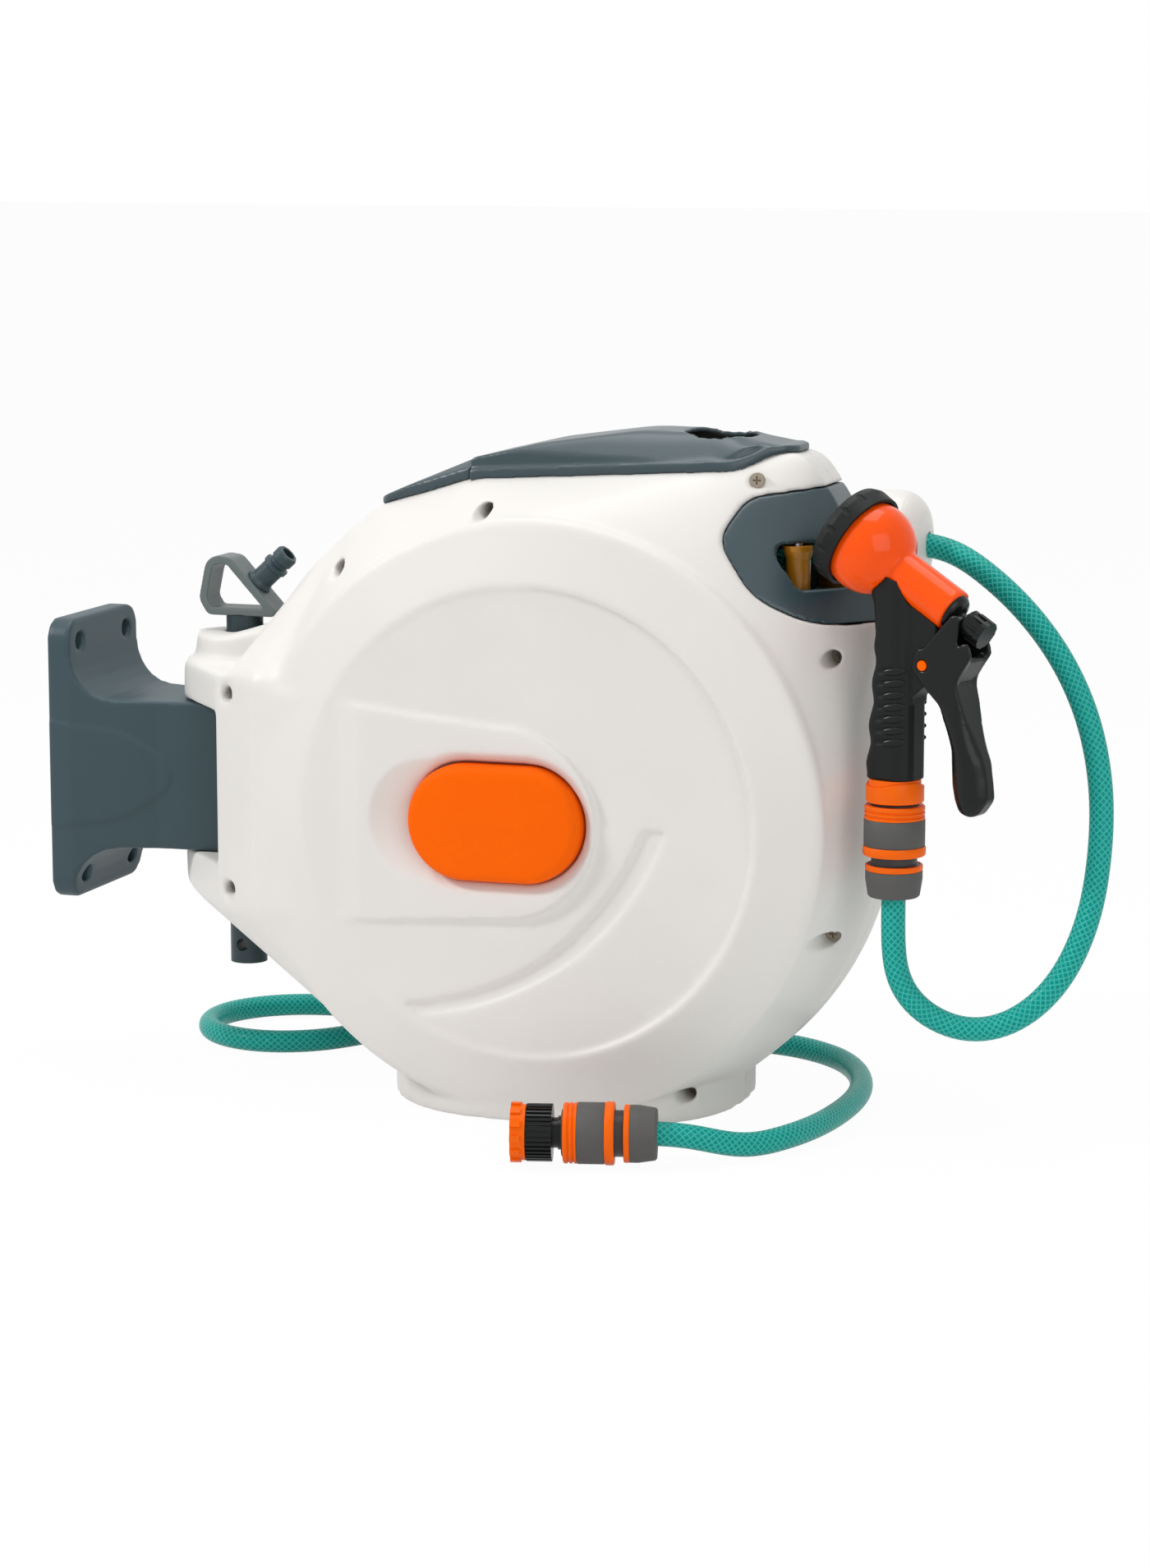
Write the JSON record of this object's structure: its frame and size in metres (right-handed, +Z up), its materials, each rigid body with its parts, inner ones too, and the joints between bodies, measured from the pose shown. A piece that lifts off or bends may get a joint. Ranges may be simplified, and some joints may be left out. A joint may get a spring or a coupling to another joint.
{
  "type": "wall mounted hose reel",
  "caption": "Wall mounted hose reel: round housing that swings on a bracket pin, with a sprung drum, guided outlet, carry handle, leader hose and trigger spray gun.",
  "frame": {"origin": "middle of the four wall bolts on the bracket's wall face", "axes": "+X away from the wall, +Y along the drum's axis towards the water inlet, +Z up"},
  "size_m": [0.6832, 0.3551, 0.4183],
  "materials": {
    "cream": "satin off-white",
    "stop_cream": "smooth off-white",
    "slate": "satin slate",
    "slate_trim": "satin slate",
    "slate_pin": "satin dark slate",
    "slate_spigot": "satin blue slate",
    "mid_grey": "satin grey",
    "orange": "fine grained orange",
    "gun_orange": "glossy orange",
    "coupler_orange": "semi-gloss orange",
    "coupler_grey": "soft grey",
    "coupler_dark": "satin dark grey",
    "black": "semi-gloss black",
    "grip": "soft black",
    "amber": "smooth amber",
    "hose": "glossy green with a braid",
    "drum_grey": "satin dark grey",
    "steel": "plain steel",
    "seal": "black rubber"
  },
  "bodies": {
    "bracket": {"wall_bracket": "slate"},
    "housing": {"near_shell": "cream", "far_shell": "cream", "shell_screws": "steel", "hub_cap": "orange", "crest_plate": "slate_trim", "handle_tray": "slate_trim", "carry_handle": "slate_trim", "outlet_bezel": "slate_trim", "roller_pins": "steel", "hose_stop": "stop_cream", "axle": "drum_grey", "inlet_elbow": "slate_spigot", "inlet_nut": "coupler_grey", "pawl_pivot": "steel", "gun_hose": "hose", "leader_hose": "hose", "gun_coupler_body": "coupler_dark", "gun_coupler_nut": "coupler_grey", "tap_coupler_body": "coupler_dark", "tap_coupler_nut": "coupler_grey", "tap_adapter": "black", "gun_base": "coupler_orange", "gun_grip": "grip", "gun_body": "gun_orange", "trigger_pin": "orange"},
    "pin": {"hinge_pin": "slate_pin", "pull_loop": "mid_grey", "parking_spigot": "slate_spigot"},
    "drum": {"drum_core": "drum_grey", "near_flange": "drum_grey", "far_flange": "drum_grey", "drum_screws": "steel", "drum_bushes": "stop_cream", "swivel_hub": "drum_grey", "axle_seals": "seal", "power_spring": "steel", "ratchet_ring": "drum_grey", "hose_layers": "hose", "wound_hose": "hose"},
    "pawl": {"pawl": "black"},
    "roller_near": {"roller_near": "amber"},
    "roller_far": {"roller_far": "amber"},
    "trigger": {"gun_trigger": "black"},
    "stem": {"valve_stem": "steel"},
    "knob": {"flow_knob": "black"},
    "selector": {"selector_ring": "grip", "spray_face": "grip"},
    "gun_collar": {"gun_coupler_collar": "coupler_orange"},
    "tap_collar": {"tap_coupler_collar": "coupler_orange"},
    "tap_nut": {"tap_nut": "black", "tap_reducer": "coupler_orange", "tap_washer": "seal"}
  },
  "joints": [
    {"name": "housing_swivel", "type": "hinge", "parent": "bracket", "child": "housing", "pos_m": [0.114, 0, 0], "axis": [0, 0, 1], "range_deg": [-60, 60]},
    {"name": "pin_lift", "type": "slide", "parent": "housing", "child": "pin", "axis": [0, 0, 1], "range_m": [0, 0.2]},
    {"name": "drum_spin", "type": "hinge", "parent": "housing", "child": "drum", "pos_m": [0.338, 0, -0.014], "axis": [0, 1, 0], "continuous": true},
    {"name": "pawl_swing", "type": "hinge", "parent": "housing", "child": "pawl", "pos_m": [0.296, 0, 0.098], "axis": [0, -1, 0], "range_deg": [0, 14]},
    {"name": "roller_near_spin", "type": "hinge", "parent": "housing", "child": "roller_near", "pos_m": [0.49, -0.041, 0.136], "axis": [0, 0, 1], "continuous": true},
    {"name": "roller_far_spin", "type": "hinge", "parent": "housing", "child": "roller_far", "pos_m": [0.49, 0.041, 0.136], "axis": [0, 0, 1], "continuous": true},
    {"name": "trigger_pull", "type": "hinge", "parent": "housing", "child": "trigger", "pos_m": [0.58271, -0.07993, 0.091], "axis": [0.3173, 0.9483, 0], "range_deg": [0, 12], "stiffness_Nm_per_rad": 0.8, "springref_deg": -11.46},
    {"name": "stem_slide", "type": "slide", "parent": "housing", "child": "stem", "axis": [0.8213, -0.2748, -0.5], "range_m": [0, 0.0085]},
    {"name": "knob_turn", "type": "hinge", "parent": "stem", "child": "knob", "pos_m": [0.60992, -0.08904, 0.114], "axis": [-0.8213, 0.2748, 0.5], "range_deg": [0, 270]},
    {"name": "selector_turn", "type": "hinge", "parent": "housing", "child": "selector", "pos_m": [0.52943, -0.06211, 0.163], "axis": [-0.8213, 0.2748, 0.5], "continuous": true},
    {"name": "gun_collar_slide", "type": "slide", "parent": "housing", "child": "gun_collar", "axis": [0, 0, -1], "range_m": [0, 0.004], "stiffness_N_per_m": 300, "springref_m": -0.004},
    {"name": "tap_collar_slide", "type": "slide", "parent": "housing", "child": "tap_collar", "axis": [0.9659, 0.2588, 0], "range_m": [0, 0.004], "stiffness_N_per_m": 300, "springref_m": -0.004},
    {"name": "tap_nut_turn", "type": "hinge", "parent": "housing", "child": "tap_nut", "pos_m": [0.37351, -0.18388, -0.182], "axis": [0.9659, 0.2588, 0], "continuous": true}
  ],
  "couplings": [
    {"joint": "stem_slide", "follows": "trigger_pull", "m_per_rad": 0.0343}
  ]
}
